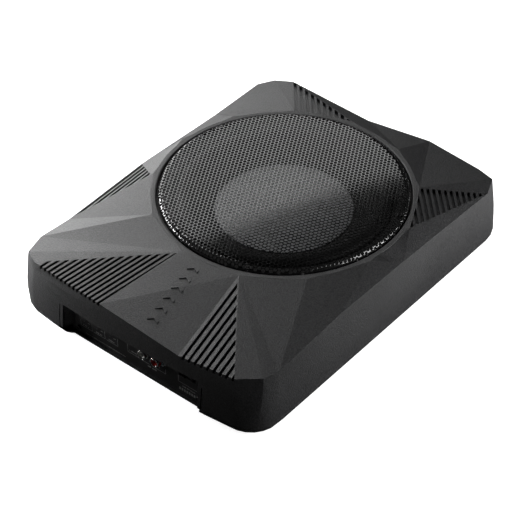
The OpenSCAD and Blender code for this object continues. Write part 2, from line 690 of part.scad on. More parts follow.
// A knob with its shaft, which runs back into the pot's bushing
module knob(x) on_panel(x, knob_z) {
    pointer_w = 0.9;
    difference() {
        translate([0, 0, 0.5]) cylinder(h = 3.2, r = knob_r, $fn = 64);
        translate([-pointer_w / 2, 0.6, 3.1]) cube([pointer_w, knob_r, 2]);
        for (a = [0 : 20 : 340]) rotate(a + 10) translate([knob_r + 0.35, 0, 1.4])
            cylinder(h = 5, r = 0.6, $fn = 16);
    }
    translate([0, 0, -7]) cylinder(h = 7.6, r = shaft_r, $fn = 48);
}
module boost_knob() color("#0b0b0c") knob(knob_xs[0]);
module low_pass_knob() color("#0b0b0c") knob(knob_xs[1]);
module gain_knob() color("#0b0b0c") knob(knob_xs[2]);

module control_pots() color("#2e5a3c") for (x = knob_xs) difference() {
    translate([x - 5, -panel_y + panel_t + 0.9, board_top]) cube([10, 8, 21]);
    on_panel(x, knob_z) translate([0, 0, -8]) cylinder(h = 10, r = 2.6, $fn = 48);
}
module pot_bushings() color("#b5b7b9") for (x = knob_xs) on_panel(x, knob_z) translate([0, 0, -8]) difference() {
    cylinder(h = 8, r = 2.6, $fn = 48);
    translate([0, 0, 0.6]) cylinder(h = 20, r = shaft_r + 0.05, $fn = 48);
}

// ---------- amplifier ----------

standoffs = [[-98, -150], [0, -139], [98, -140], [-98, -92], [0, -104], [98, -92]];

// Circuit board behind the panel
module amplifier_board() color("#1d5a36") difference() {
    translate([-104, -154.5, board_z]) cube([208, 69.5, board_t]);
    for (p = standoffs) translate([p[0], p[1], 0]) cylinder(h = 20, r = 1.5, $fn = 24);
}
module board_standoffs() color("#c2a14d") for (p = standoffs) translate([p[0], p[1], floor_t]) {
    cylinder(h = board_z - floor_t, r = 2.8, $fn = 32);
    cylinder(h = board_top - floor_t, r = 1.5, $fn = 24);
    translate([0, 0, board_top - floor_t]) cylinder(h = 1.4, r = 2.6, $fn = 32);
}

sink_y = -100;
// Two finned bars with the power transistors clamped to their front faces
module heat_sink() color("#a8abae") for (side = [-1, 1]) translate([side * 52, sink_y, board_top]) {
    translate([-34, 0, 0]) cube([68, 3, 34]);
    for (i = [-5 : 5]) translate([i * 6.4 - 0.8, 3, 0]) cube([1.6, 8, 34]);
}
module power_transistors() color("#161618") for (side = [-1, 1], i = [-1 : 1])
    translate([side * 52 + i * 20, sink_y, board_top]) {
        translate([-5, -4.5, 6]) cube([10, 4.5, 15]);
        for (p = [-2.5, 0, 2.5]) translate([p - 0.4, -2.8, 0]) cube([0.8, 0.6, 6]);
    }
module filter_capacitors() color("#20242c") for (p = [[-88, -122], [-66, -122], [-44, -122], [66, -122], [88, -118]])
    translate([p[0], p[1], board_top]) cylinder(h = 25, r = 8, $fn = 64);
choke_at = [-20, -120, board_top + 7];
// Toroidal choke: copper winding with a gap, and its core on a round foot
module choke_winding() color("#a5562a") translate(choke_at) difference() {
    rotate_extrude($fn = 64) difference() {
        translate([9.5, 0]) circle(5.5, $fn = 32);
        translate([9.5, 0]) circle(4.1, $fn = 32);
    }
    translate([0, -3, -8]) cube([20, 6, 16]);
}
module choke_core() color("#d8c04a") translate(choke_at) {
    rotate_extrude($fn = 64) translate([9.5, 0]) circle(4, $fn = 32);
    translate([0, 0, -7]) cylinder(h = 1.4, r = 9.5, $fn = 48);
}
transformer_at = [28, -121, board_top];
// Small transformer: bobbin, and the core through it and on both sides
module transformer_bobbin() color("#c9b27a") translate(transformer_at) difference() {
    translate([-9, -12, 0]) cube([18, 24, 22]);
    translate([-10, -5, 5]) cube([20, 10, 12]);
}
module transformer_core() color("#303033") translate(transformer_at) {
    translate([-9, -5, 5]) cube([18, 10, 12]);
    for (side = [-1, 1]) translate([side * 11.5 - 2.5, -9, 2]) cube([5, 18, 18]);
}
module speaker_header() color("#e5e0d0") translate([0, -92, board_top]) difference() {
    translate([-9, -4, 0]) cube([18, 8, 8]);
    for (x = [-6, 6]) translate([x, 0, 4]) cylinder(h = 10, r = 1.3, $fn = 24);
}

upper_housing();
base_tray();
mount_inserts();
housing_screws();
grille_mesh();
grille_seat_ring();
flange_gasket();
woofer_basket();
woofer_screws();
surround();
cone();
dust_cap();
voice_coil_former();
voice_coil_winding();
spider();
top_plate();
magnet();
pole_yoke();
terminal_block();
tinsel_leads();
speaker_wires();
connector_panel();
panel_screws();
rca_block();
rca_sleeves();
rca_insert_white();
rca_insert_red();
power_connector();
power_pins();
remote_socket();
remote_pins();
power_led();
boost_knob();
low_pass_knob();
gain_knob();
control_pots();
pot_bushings();
amplifier_board();
board_standoffs();
heat_sink();
power_transistors();
filter_capacitors();
choke_core();
choke_winding();
transformer_core();
transformer_bobbin();
speaker_header();
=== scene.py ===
"""Powered under-seat car subwoofer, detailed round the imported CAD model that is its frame."""
import json
import math
import random

import bmesh
import bpy
from mathutils import Matrix, Quaternion, Vector


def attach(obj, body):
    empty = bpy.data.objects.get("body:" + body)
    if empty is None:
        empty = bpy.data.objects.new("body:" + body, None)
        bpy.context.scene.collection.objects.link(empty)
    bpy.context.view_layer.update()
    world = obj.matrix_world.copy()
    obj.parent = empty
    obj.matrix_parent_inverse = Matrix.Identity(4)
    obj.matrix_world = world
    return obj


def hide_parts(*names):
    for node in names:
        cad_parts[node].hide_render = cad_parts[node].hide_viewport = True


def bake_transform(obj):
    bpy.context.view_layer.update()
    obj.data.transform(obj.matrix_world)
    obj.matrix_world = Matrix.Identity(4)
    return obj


MM = 0.001
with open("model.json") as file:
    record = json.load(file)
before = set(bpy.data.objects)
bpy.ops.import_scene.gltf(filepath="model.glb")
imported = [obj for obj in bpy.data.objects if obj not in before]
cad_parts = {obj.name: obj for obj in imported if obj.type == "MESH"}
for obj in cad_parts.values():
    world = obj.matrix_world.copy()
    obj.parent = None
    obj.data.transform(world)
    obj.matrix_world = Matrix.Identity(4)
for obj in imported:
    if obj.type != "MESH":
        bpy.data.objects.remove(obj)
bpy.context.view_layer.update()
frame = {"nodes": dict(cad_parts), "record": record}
nodes = frame["nodes"]
ROOT = "enclosure"
CONE_BODY = "cone_assembly"

# ---------------------------------------------------------------- camera, floor and light

CAM_AZIMUTH = math.radians(40.168)
CAM_ELEVATION = math.radians(40.80)
CAM_ROLL = math.radians(-0.573)
CAM_PLACE = Vector((0.74694, -0.89282, 1.01155))
CAM_LENS = 126.4
CAM_SENSOR = 36.0
CAM_CLIP = (0.05, 30)

FLOOR_HALF = 6.0
FLOOR_Z = -0.0002
FLOOR_GLOW = 0.92     # emission that only the camera sees
FLOOR_BOUNCE = 0.13   # grey that every other ray meets
WORLD_FILL = 0.0      # strength of the backdrop as a light
LIGHT_AIM_Z = 0.06


def linked(name, data):
    """A new object with this data, in the scene's collection."""
    obj = bpy.data.objects.new(name, data)
    bpy.context.scene.collection.objects.link(obj)
    return obj


def make_camera():
    data = bpy.data.cameras.new("camera")
    data.lens = CAM_LENS
    data.sensor_width = CAM_SENSOR
    data.clip_start, data.clip_end = CAM_CLIP
    cam = linked("camera", data)
    ca, sa = math.cos(CAM_AZIMUTH), math.sin(CAM_AZIMUTH)
    ce, se = math.cos(CAM_ELEVATION), math.sin(CAM_ELEVATION)
    forward = Vector((-sa * ce, ca * ce, -se))
    right = Vector((ca, sa, 0))
    up = right.cross(forward)
    right_rolled = right * math.cos(CAM_ROLL) + up * math.sin(CAM_ROLL)
    up_rolled = up * math.cos(CAM_ROLL) - right * math.sin(CAM_ROLL)
    turn = Matrix((right_rolled, up_rolled, -forward)).transposed()
    cam.matrix_world = Matrix.Translation(CAM_PLACE) @ turn.to_4x4()
    bpy.context.scene.camera = cam


def split_by_ray(tree, thrown, seen, out):
    """The camera meets one shader and every other ray meets the other."""
    path = tree.nodes.new("ShaderNodeLightPath")
    mix = tree.nodes.new("ShaderNodeMixShader")
    tree.links.new(path.outputs["Is Camera Ray"], mix.inputs[0])
    tree.links.new(thrown.outputs[0], mix.inputs[1])
    tree.links.new(seen.outputs[0], mix.inputs[2])
    tree.links.new(mix.outputs[0], out.inputs["Surface"])


def floor_material():
    """Pale paper, brighter to the eye than the light it throws back on the dark housing."""
    material = bpy.data.materials.new("floor_pale")
    material.use_nodes = True
    tree = material.node_tree
    seen = tree.nodes["Principled BSDF"]
    seen.inputs["Base Color"].default_value = (0.80, 0.80, 0.80, 1)
    seen.inputs["Roughness"].default_value = 0.9
    seen.inputs["Specular IOR Level"].default_value = 0.1
    seen.inputs["Emission Color"].default_value = (1, 1, 1, 1)
    seen.inputs["Emission Strength"].default_value = FLOOR_GLOW
    thrown = tree.nodes.new("ShaderNodeBsdfDiffuse")
    thrown.inputs["Color"].default_value = (FLOOR_BOUNCE, FLOOR_BOUNCE, FLOOR_BOUNCE, 1)
    split_by_ray(tree, thrown, seen, tree.nodes["Material Output"])
    return material


def make_floor():
    mesh = bpy.data.meshes.new("floor")
    square = ((-1, -1), (1, -1), (1, 1), (-1, 1))
    mesh.from_pydata([(x * FLOOR_HALF, y * FLOOR_HALF, FLOOR_Z) for x, y in square], [],
                     [(0, 1, 2, 3)])
    floor = linked("floor", mesh)
    mesh.materials.append(floor_material())


def make_world():
    world = bpy.data.worlds.new("studio")
    world.use_nodes = True
    tree = world.node_tree
    tree.nodes.clear()
    out = tree.nodes.new("ShaderNodeOutputWorld")
    seen = tree.nodes.new("ShaderNodeBackground")
    seen.inputs["Color"].default_value = (0.97, 0.97, 0.98, 1)
    seen.inputs["Strength"].default_value = 1.0
    lit = tree.nodes.new("ShaderNodeBackground")
    lit.inputs["Color"].default_value = (1, 1, 1, 1)
    lit.inputs["Strength"].default_value = WORLD_FILL
    split_by_ray(tree, lit, seen, out)
    bpy.context.scene.world = world


def soft_box(name, azimuth, elevation, distance, size, radiance, roll=0.0):
    """A rectangular light that faces the object. Azimuth 0 stands on +Y and turns towards -X."""
    a, e = math.radians(azimuth), math.radians(elevation)
    place = Vector((-math.sin(a) * math.cos(e), math.cos(a) * math.cos(e), math.sin(e))) * distance
    data = bpy.data.lights.new(name, "AREA")
    data.shape = "RECTANGLE"
    data.size, data.size_y = size
    data.energy = radiance * math.pi * size[0] * size[1]
    light = linked(name, data)
    light.location = place + Vector((0, 0, LIGHT_AIM_Z))
    light.rotation_mode = "QUATERNION"
    facing = (-place).to_track_quat("-Z", "Y")
    light.rotation_quaternion = facing @ Quaternion((0, 0, 1), math.radians(roll))


make_camera()
make_floor()
make_world()
# Name, azimuth, elevation, distance, size, radiance and roll
soft_box("back_left_box", 41.8, 33.7, 2.2, (1.05, 0.65), 3.0, 27)
soft_box("left_high", 84, 40, 1.1, (0.36, 0.36), 6.9)
soft_box("left_top", 84, 54, 1.1, (0.36, 0.36), 3.3)
soft_box("left_near", 73, 15, 0.6, (0.32, 0.35), 4.4)
soft_box("left_back_low", 50, 5, 0.6, (0.34, 0.20), 1.9)
soft_box("left_front_low", 114, 3, 0.36, (0.26, 0.12), 24.0)
soft_box("right_low", 284, 12, 0.5, (0.36, 0.36), 5.6)
soft_box("right_floor_strip", 312, -5, 0.46, (0.36, 0.03), 26.0)
bpy.context.scene.view_settings.view_transform = "Standard"

# ---------------------------------------------------------------- materials


def grey(level):
    return (level, level, level)


class Maker:
    """A Principled material built up from named steps."""

    def __init__(self, name):
        self.material = bpy.data.materials.new(name)
        self.material.use_nodes = True
        self.tree = self.material.node_tree
        self.shader = self.tree.nodes["Principled BSDF"]
        self.coords = self.node("ShaderNodeTexCoord").outputs["Object"]
        self.height = None

    def node(self, kind, **settings):
        made = self.tree.nodes.new(kind)
        for key, value in settings.items():
            setattr(made, key, value)
        return made

    def link(self, a, b):
        self.tree.links.new(a, b)

    def put(self, socket, value):
        self.shader.inputs[socket].default_value = value

    def noise(self, scale, detail=3.0, stretch=None, roughness=0.5):
        tex = self.node("ShaderNodeTexNoise")
        tex.inputs["Scale"].default_value = scale
        tex.inputs["Detail"].default_value = detail
        tex.inputs["Roughness"].default_value = roughness
        where = self.coords
        if stretch:
            mapping = self.node("ShaderNodeMapping")
            mapping.inputs["Scale"].default_value = stretch
            self.link(where, mapping.inputs["Vector"])
            where = mapping.outputs["Vector"]
        self.link(where, tex.inputs["Vector"])
        return tex.outputs["Fac"]

    def ramp(self, value, stops):
        ramp = self.node("ShaderNodeValToRGB")
        elements = ramp.color_ramp.elements
        for i, (at, colour) in enumerate(stops):
            element = elements[i] if i < 2 else elements.new(at)
            element.position = at
            element.color = (*colour, 1)
        self.link(value, ramp.inputs["Fac"])
        return ramp.outputs["Color"]

    def spread(self, value, low, high, start=0.3, end=0.7):
        span = self.node("ShaderNodeMapRange")
        span.inputs["From Min"].default_value = start
        span.inputs["From Max"].default_value = end
        span.inputs["To Min"].default_value = low
        span.inputs["To Max"].default_value = high
        self.link(value, span.inputs["Value"])
        return span.outputs["Result"]

    def bump(self, value, distance, strength=1.0):
        bump = self.node("ShaderNodeBump")
        bump.inputs["Strength"].default_value = strength
        bump.inputs["Distance"].default_value = distance
        self.link(value, bump.inputs["Height"])
        if self.height is not None:
            self.link(self.height, bump.inputs["Normal"])
        self.height = bump.outputs["Normal"]
        return self

    def rounded_edges(self, radius):
        """Softened edge normals under the bumps."""
        bevel = self.node("ShaderNodeBevel", samples=4)
        bevel.inputs["Radius"].default_value = radius
        self.height = bevel.outputs["Normal"]
        return self

    def edge_wear_and_highlight(self, base, worn_and_highlight, radius, amount):
        """Mixes in a lighter colour where the softened normal leaves the true one: edge wear, and a
        painted highlight along the edges.
        """
        bevel = self.node("ShaderNodeBevel", samples=4)
        bevel.inputs["Radius"].default_value = radius
        geometry = self.node("ShaderNodeNewGeometry")
        dot = self.node("ShaderNodeVectorMath", operation="DOT_PRODUCT")
        self.link(bevel.outputs["Normal"], dot.inputs[0])
        self.link(geometry.outputs["Normal"], dot.inputs[1])
        # The product is 1 on a flat face and falls towards 0.8 on an edge
        edge = self.spread(dot.outputs["Value"], amount, 0.0, 0.80, 0.99)
        broken = self.spread(self.noise(260, 4), 0.2, 1.0)
        both = self.node("ShaderNodeMath", operation="MULTIPLY")
        self.link(edge, both.inputs[0])
        self.link(broken, both.inputs[1])
        mix = self.node("ShaderNodeMix", data_type="RGBA")
        self.link(both.outputs[0], mix.inputs["Factor"])
        self.link(base, mix.inputs["A"])
        mix.inputs["B"].default_value = (*worn_and_highlight, 1)
        return mix.outputs["Result"]

    def done(self, colour=None, roughness=None):
        if colour is not None:
            self.link(colour, self.shader.inputs["Base Color"])
        if roughness is not None:
            self.link(roughness, self.shader.inputs["Roughness"])
        if self.height is not None:
            self.link(self.height, self.shader.inputs["Normal"])
        return self.material


def moulded(name, dark, light, worn_and_highlight, grain_scale, grain_depth, rough,
            round_mm=0.35, wear_and_highlight=0.5, specular=0.5):
    """Moulded plastic or powder coat: a fine spark-eroded grain, faint mottling, and edges
    lightened by wear and by a painted highlight.
    """
    m = Maker(name)
    m.put("Specular IOR Level", specular)
    if round_mm:
        m.rounded_edges(round_mm * MM)
    grain = m.noise(grain_scale, 2, roughness=0.6)
    # The colour follows the grain, shifted a little by a slow mottle
    mottle = m.node("ShaderNodeMath", operation="MULTIPLY_ADD")
    mottle.inputs[1].default_value = 0.75
    m.link(grain, mottle.inputs[0])
    m.link(m.spread(m.noise(38, 4), 0.11, 0.14), mottle.inputs[2])
    colour = m.ramp(mottle.outputs[0], [(0.38, dark), (0.62, light)])
    # The edges' lighter colour is part wear and part painted highlight
    colour = m.edge_wear_and_highlight(colour, worn_and_highlight, 0.5 * MM, wear_and_highlight)
    m.bump(grain, grain_depth)
    m.bump(m.noise(90, 3), grain_depth * 0.6, 0.5)
    roughness = m.spread(m.noise(22, 5), rough[0], rough[1])
    return m.done(colour, roughness)


def metal(name, dark, light, rough, brush=None, scale=900, depth=0.00002):
    m = Maker(name)
    m.put("Metallic", 1.0)
    m.rounded_edges(0.15 * MM)
    colour = m.ramp(m.noise(60, 4), [(0.3, dark), (0.7, light)])
    m.bump(m.noise(scale, 3, stretch=brush), depth)
    return m.done(colour, m.spread(m.noise(150, 4, stretch=brush), rough[0], rough[1]))


def cloth(name):
    """Resin-dipped cotton: two crossed sets of threads."""
    m = Maker(name)
    wave_a = m.node("ShaderNodeTexWave", bands_direction="X")
    wave_b = m.node("ShaderNodeTexWave", bands_direction="Y")
    both = m.node("ShaderNodeMath", operation="MULTIPLY")
    for wave, socket in ((wave_a, 0), (wave_b, 1)):
        wave.inputs["Scale"].default_value = 420
        wave.inputs["Distortion"].default_value = 0.6
        m.link(m.coords, wave.inputs["Vector"])
        m.link(wave.outputs["Fac"], both.inputs[socket])
    colour = m.ramp(both.outputs[0], [(0.1, (0.22, 0.13, 0.04)), (0.8, (0.48, 0.32, 0.13))])
    m.bump(both.outputs[0], 0.0002)
    m.put("Sheen Weight", 0.2)
    return m.done(colour, m.spread(m.noise(60, 3), 0.7, 0.85))


def coated_mesh(name):
    """Glossy black paint on pressed steel, with a faint orange peel."""
    m = Maker(name)
    m.put("Specular IOR Level", 1.0)
    colour = m.ramp(m.noise(140, 4), [(0.3, grey(0.006)), (0.7, grey(0.010))])
    m.bump(m.noise(300, 2), 0.000004)
    return m.done(colour, m.spread(m.noise(60, 4), 0.09, 0.13))


# Dark, light and worn colours, grain scale and depth in metres, and the range of roughness. The
# worn colour is also a painted edge highlight. Then the edge rounding in millimetres, the amount of
# wear and highlight and the specular level, where they aren't the usual.
MOULDED = {
    "housing_black": ((0.007, 0.007, 0.0075), (0.032, 0.032, 0.033), (0.075, 0.075, 0.078), 900,
                      0.0003, (0.39, 0.47), 0.0, 0.35),
    "tray_black": ((0.012, 0.012, 0.013), (0.017, 0.017, 0.018), grey(0.06), 1300, 0.00006,
                   (0.46, 0.58), 0.4, 0.4),
    "ring_black": (grey(0.005), grey(0.008), grey(0.03), 1800, 0.00003, (0.5, 0.65), 0.35, 0.2,
                   0.3),
    "gasket_foam": (grey(0.004), grey(0.008), grey(0.012), 900, 0.0002, (0.85, 0.95), 0.0, 0.1),
    "basket_steel": (grey(0.005), grey(0.009), grey(0.04), 1100, 0.00005, (0.55, 0.68), 0.35, 0.5,
                     0.25),
    "screw_black": (grey(0.010), grey(0.016), grey(0.10), 1800, 0.00002, (0.35, 0.48), 0.15, 0.6,
                    0.35),
    "surround_rubber": (grey(0.004), grey(0.007), grey(0.02), 1200, 0.00004, (0.55, 0.7), 0.0,
                        0.1, 0.2),
    "cone_black": (grey(0.004), grey(0.008), grey(0.02), 700, 0.00008, (0.6, 0.75), 0.0, 0.1,
                   0.2),
    "cap_grey": ((0.25, 0.255, 0.26), (0.31, 0.315, 0.32), grey(0.55), 900, 0.00005, (0.38, 0.5),
                 0.3, 0.2),
    "former_paper": ((0.42, 0.27, 0.11), (0.52, 0.35, 0.16), (0.6, 0.45, 0.25), 500, 0.00005,
                     (0.7, 0.85), 0.1, 0.2),
    "ferrite": ((0.03, 0.03, 0.033), (0.05, 0.05, 0.055), grey(0.12), 700, 0.0001, (0.6, 0.75),
                0.3, 0.6),
    "terminal_black": (grey(0.012), grey(0.02), grey(0.05), 1300, 0.00004, (0.5, 0.6)),
    "wire_red": ((0.30, 0.012, 0.012), (0.38, 0.02, 0.02), (0.4, 0.06, 0.06), 600, 0.00003,
                 (0.4, 0.5), 0.0, 0.1),
    "panel_black": ((0.006, 0.006, 0.0065), (0.010, 0.010, 0.0105), grey(0.05), 1500, 0.00003,
                    (0.38, 0.48), 0.2, 0.3),
    "socket_black": (grey(0.006), grey(0.010), grey(0.04), 1300, 0.00003, (0.4, 0.5), 0.2, 0.3),
    "insert_white": ((0.72, 0.72, 0.69), (0.82, 0.82, 0.79), (0.85, 0.85, 0.83), 900, 0.00002,
                     (0.22, 0.32), 0.15, 0.1),
    "insert_red": ((0.42, 0.012, 0.010), (0.55, 0.02, 0.016), (0.6, 0.08, 0.07), 900, 0.00002,
                   (0.22, 0.32), 0.15, 0.2),
    "led_clear": ((0.70, 0.74, 0.78), (0.82, 0.85, 0.88), grey(0.9), 700, 0.00001, (0.08, 0.16),
                  0.1, 0.1),
    "knob_black": (grey(0.008), grey(0.013), grey(0.06), 1600, 0.00003, (0.42, 0.55), 0.2, 0.5),
    "pot_green": ((0.02, 0.12, 0.05), (0.03, 0.16, 0.07), (0.1, 0.25, 0.15), 900, 0.00003,
                  (0.3, 0.4), 0.2, 0.2),
    "board_green": ((0.008, 0.08, 0.03), (0.012, 0.11, 0.045), (0.2, 0.2, 0.1), 300, 0.00003,
                    (0.2, 0.32), 0.1, 0.3),
    "capacitor_sleeve": ((0.012, 0.015, 0.035), (0.018, 0.022, 0.05), (0.08, 0.08, 0.12), 500,
                         0.00002, (0.2, 0.3), 0.5, 0.3),
    "core_yellow": ((0.5, 0.36, 0.05), (0.6, 0.44, 0.08), (0.7, 0.55, 0.2), 500, 0.00005,
                    (0.5, 0.65), 0.3, 0.2),
    "bobbin_tan": ((0.46, 0.32, 0.12), (0.56, 0.4, 0.17), (0.6, 0.5, 0.3), 400, 0.00005,
                   (0.35, 0.5), 0.4, 0.2),
    "header_white": ((0.62, 0.59, 0.48), (0.70, 0.67, 0.56), (0.75, 0.72, 0.65), 900, 0.00003,
                     (0.4, 0.5), 0.2, 0.2),
}

# Dark and light colours and the range of roughness, then the brushing's stretch, scale and depth
METALS = {
    "steel": ((0.42, 0.43, 0.44), (0.55, 0.56, 0.58), (0.32, 0.45)),
    "nickel": ((0.70, 0.69, 0.67), (0.80, 0.79, 0.77), (0.12, 0.22)),
    "contact_brass": ((0.62, 0.46, 0.18), (0.74, 0.56, 0.24), (0.2, 0.32)),
    "aluminium": ((0.55, 0.56, 0.58), (0.66, 0.67, 0.69), (0.3, 0.42), (1, 1, 0.06)),
    "copper_wire": ((0.50, 0.19, 0.07), (0.62, 0.26, 0.11), (0.28, 0.4), (0.2, 0.2, 6), 1800,
                    0.00008),
}

MATERIALS = {name: moulded(name, *look) for name, look in MOULDED.items()}
MATERIALS.update((name, metal(name, *look)) for name, look in METALS.items())
MATERIALS["mesh_black"] = coated_mesh("mesh_black")
MATERIALS["spider_cloth"] = cloth("spider_cloth")


def dress(obj, slot):
    obj.data.materials.clear()
    obj.data.materials.append(MATERIALS[slot])


node_slots = {row["node"]: row["material_slot"] for row in frame["record"]["subparts"]}
for node_name, obj in nodes.items():
    obj.data.materials.clear()
    obj.data.materials.append(MATERIALS[node_slots[node_name]])

# ---------------------------------------------------------------- mesh helpers


def placed(name, mesh, slot):
    obj = linked(name, mesh)
    dress(obj, slot)
    return obj


def new_object(name, mesh, slot, body):
    obj = placed(name, mesh, slot)
    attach(obj, body)
    return obj


def mesh_from(name, bm):
    bm.normal_update()
    mesh = bpy.data.meshes.new(name)
    bm.to_mesh(mesh)
    bm.free()
    return mesh


def smooth_below(bm, limit):
    """Smooth faces, with the edges that turn by the limit or more left sharp."""
    for face in bm.faces:
        face.smooth = True
    for edge in bm.edges:
        if len(edge.link_faces) == 2:
            edge.smooth = edge.calc_face_angle(0.0) < limit(edge)


MERGE_DIST = 0.000002
WELD_DIST = 0.0000005
COPLANAR = math.radians(0.4)
SHARP_ON_TOP = math.radians(0.3)
SHARP_ELSEWHERE = math.radians(30)


def softened(node_name, piece, body, width, angle, flat_above=None):
    """A copy of a CAD node's mesh with merged flat faces and rounded edges, standing for the node.

    The width is in millimetres. Edges between faces whose normals rise past flat_above stay crisp.
    """
    bm = bmesh.new()
    bm.from_mesh(nodes[node_name].data)
    bmesh.ops.remove_doubles(bm, verts=bm.verts, dist=MERGE_DIST)
    bmesh.ops.dissolve_limit(bm, angle_limit=COPLANAR, verts=bm.verts, edges=bm.edges,
                             delimit=set())
    bm.normal_update()

    def limit(edge):
        on_top = flat_above is not None and all(f.normal.z > flat_above for f in edge.link_faces)
        return SHARP_ON_TOP if on_top else SHARP_ELSEWHERE

    smooth_below(bm, limit)
    obj = new_object(piece, mesh_from(piece, bm), node_slots[node_name], body)
    bevel = obj.modifiers.new("edges", "BEVEL")
    bevel.width = width * MM
    bevel.segments = 2
    bevel.limit_method = "ANGLE"
    bevel.angle_limit = math.radians(angle)
    bevel.harden_normals = True
    bevel.use_clamp_overlap = True
    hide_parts(node_name)


# ---------------------------------------------------------------- grille

WOOFER_Y = 24 * MM
CROWN_Z = 66.8 * MM
MESH_R = 105.2 * MM
MESH_EDGE_Z = CROWN_Z + 3.9 * MM
MESH_RISE = 3.0 * MM
MESH_FOOT_Z = 64.25 * MM
FOLD_R = 5.6 * MM
MESH_T = 0.6 * MM
PITCH = 3.62 * MM
HOLE_R = 1.62 * MM
SOLID_RIM = 2.6 * MM
ROOT3 = math.sqrt(3)
CELL_R = PITCH / ROOT3
CREASE = math.radians(35)

FLAT_R = MESH_R - FOLD_R
SHADE_R = FLAT_R - 1.8 * MM   # past it the outside takes the dull dark slot as painted shade, since the fold lies in shadow
DOME_R = (FLAT_R ** 2 + MESH_RISE ** 2) / (2 * MESH_RISE)
DOME_LEN = DOME_R * math.asin(FLAT_R / DOME_R)
EDGE_ANGLE = FLAT_R / DOME_R
FOLD_LEN = FOLD_R * (math.pi / 2 - EDGE_ANGLE)


def grille_profile(rho):
    """(radius, height, outward normal) at arc length rho from the middle of the mesh."""
    if rho <= DOME_LEN:
        a = rho / DOME_R
        z = MESH_EDGE_Z + MESH_RISE - DOME_R * (1 - math.cos(a))
        return DOME_R * math.sin(a), z, (math.sin(a), math.cos(a))
    over = rho - DOME_LEN
    cx = FLAT_R - FOLD_R * math.sin(EDGE_ANGLE)
    cz = MESH_EDGE_Z - FOLD_R * math.cos(EDGE_ANGLE)
    if over <= FOLD_LEN:
        a = EDGE_ANGLE + over / FOLD_R
        return cx + FOLD_R * math.sin(a), cz + FOLD_R * math.cos(a), (math.sin(a), math.cos(a))
    return cx + FOLD_R, cz - (over - FOLD_LEN), (1.0, 0.0)


def grille_end():
    """Arc length from the middle of the mesh to the foot of its folded edge."""
    fold_end = DOME_R * EDGE_ANGLE + FOLD_LEN
    _, z_fold, _ = grille_profile(fold_end - 1e-7)
    return fold_end + z_fold - MESH_FOOT_Z


def corners(cx, cy, radius, count, first):
    """Corners of a regular polygon, the first of them at an angle in degrees."""
    angles = [math.radians(first + 360 // count * k) for k in range(count)]
    return [(cx + radius * math.cos(a), cy + radius * math.sin(a)) for a in angles]


class Sheet:
    """The perforated sheet. Its flat pattern is laid over the dome, round the fold and down."""

    def __init__(self):
        self.bm = bmesh.new()
        self.end = grille_end()
        self.made = {}

    def vertex(self, x, y, side):
        """The sheet's point over (x, y) of the pattern, on the outside (0) or the inside (1)."""
        key = (round(x * 1e7), round(y * 1e7), side)
        if key not in self.made:
            rho = math.hypot(x, y)
            r, z, (nr, nz) = grille_profile(min(rho, self.end))
            cos_a, sin_a = (x / rho, y / rho) if rho > 1e-9 else (1.0, 0.0)
            depth = MESH_T if side else 0.0
            r -= nr * depth
            z -= nz * depth
            self.made[key] = self.bm.verts.new((r * cos_a, WOOFER_Y + r * sin_a, z))
        return self.made[key]

    def face(self, verts, in_shade):
        # Faces in shade take the dull dark second slot, as painted shade
        self.bm.faces.new(verts).material_index = 1 if in_shade else 0

    def holed(self, outer, hole, in_shade):
        """A six-sided cell with a twelve-sided hole. Its inside and the hole's wall are dull and
        dark, painted shade that keeps the holes black, and so is its outside on the shaded fold.
        """
        for side in (0, 1):
            web = [self.vertex(*p, side) for p in outer]
            lip = [self.vertex(*p, side) for p in hole]
            for k in range(6):
                n = (k + 1) % 6
                self.face([web[k], lip[2 * k + 1], lip[2 * k]], side or in_shade)
                self.face([web[k], web[n], lip[2 * n], lip[2 * k + 1]], side or in_shade)
        for p, q in zip(hole, hole[1:] + hole[:1]):
            lip_and_root = [self.vertex(*at, side) for at, side in ((p, 0), (q, 0), (q, 1), (p, 1))]
            self.face(lip_and_root, True)

    def solid(self, outer):
        """A cell without a hole, drawn in to the sheet's end. One wholly past it is left out."""
        radii = [math.hypot(*p) for p in outer]
        if min(radii) >= self.end:
            return
        shares = [min(1.0, self.end / r) for r in radii]
        drawn = [(x * share, y * share) for (x, y), share in zip(outer, shares)]
        top = [self.vertex(*p, 0) for p in drawn]
        bottom = [self.vertex(*p, 1) for p in drawn]
        # Solid cells lie down the shaded skirt, so both faces take the dull dark slot as painted
        # shade
        if len(set(top)) == 6:
            self.face(top, True)
            self.face(bottom[::-1], True)


def make_grille():
    sheet = Sheet()
    rows = int(sheet.end / (PITCH * ROOT3 / 2)) + 2
    cols = int(sheet.end / PITCH) + 2
    for row in range(-rows, rows + 1):
        cy = row * PITCH * ROOT3 / 2
        for col in range(-cols, cols + 1):
            cx = PITCH * (col + (0.5 if row % 2 else 0))
            rho = math.hypot(cx, cy)
            if rho > sheet.end + CELL_R:
                continue
            outer = corners(cx, cy, CELL_R, 6, 30)
            if rho < sheet.end - SOLID_RIM:
                sheet.holed(outer, corners(cx, cy, HOLE_R, 12, 15), rho > SHADE_R)
            else:
                sheet.solid(outer)
    bm = sheet.bm
    bmesh.ops.remove_doubles(bm, verts=bm.verts, dist=WELD_DIST)
    bmesh.ops.bridge_loops(bm, edges=[e for e in bm.edges if e.is_boundary])
    bmesh.ops.recalc_face_normals(bm, faces=bm.faces)
    smooth_below(bm, lambda edge: CREASE)
    piece = new_object("perforated_grille", mesh_from("perforated_grille", bm), "mesh_black", ROOT)
    # The second slot is dull and dark: painted shade on the cut edges, the inside, the fold and the
    # skirt
    piece.data.materials.append(moulded("mesh_cut_edges_and_shade", grey(0.004), grey(0.008), grey(0.02),
                                        1900, 0.00001, (0.6, 0.75), 0.0, 0.0, 0.15))
    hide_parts("grille_mesh")


make_grille()

# ---------------------------------------------------------------- CAD shapes with rounded edges

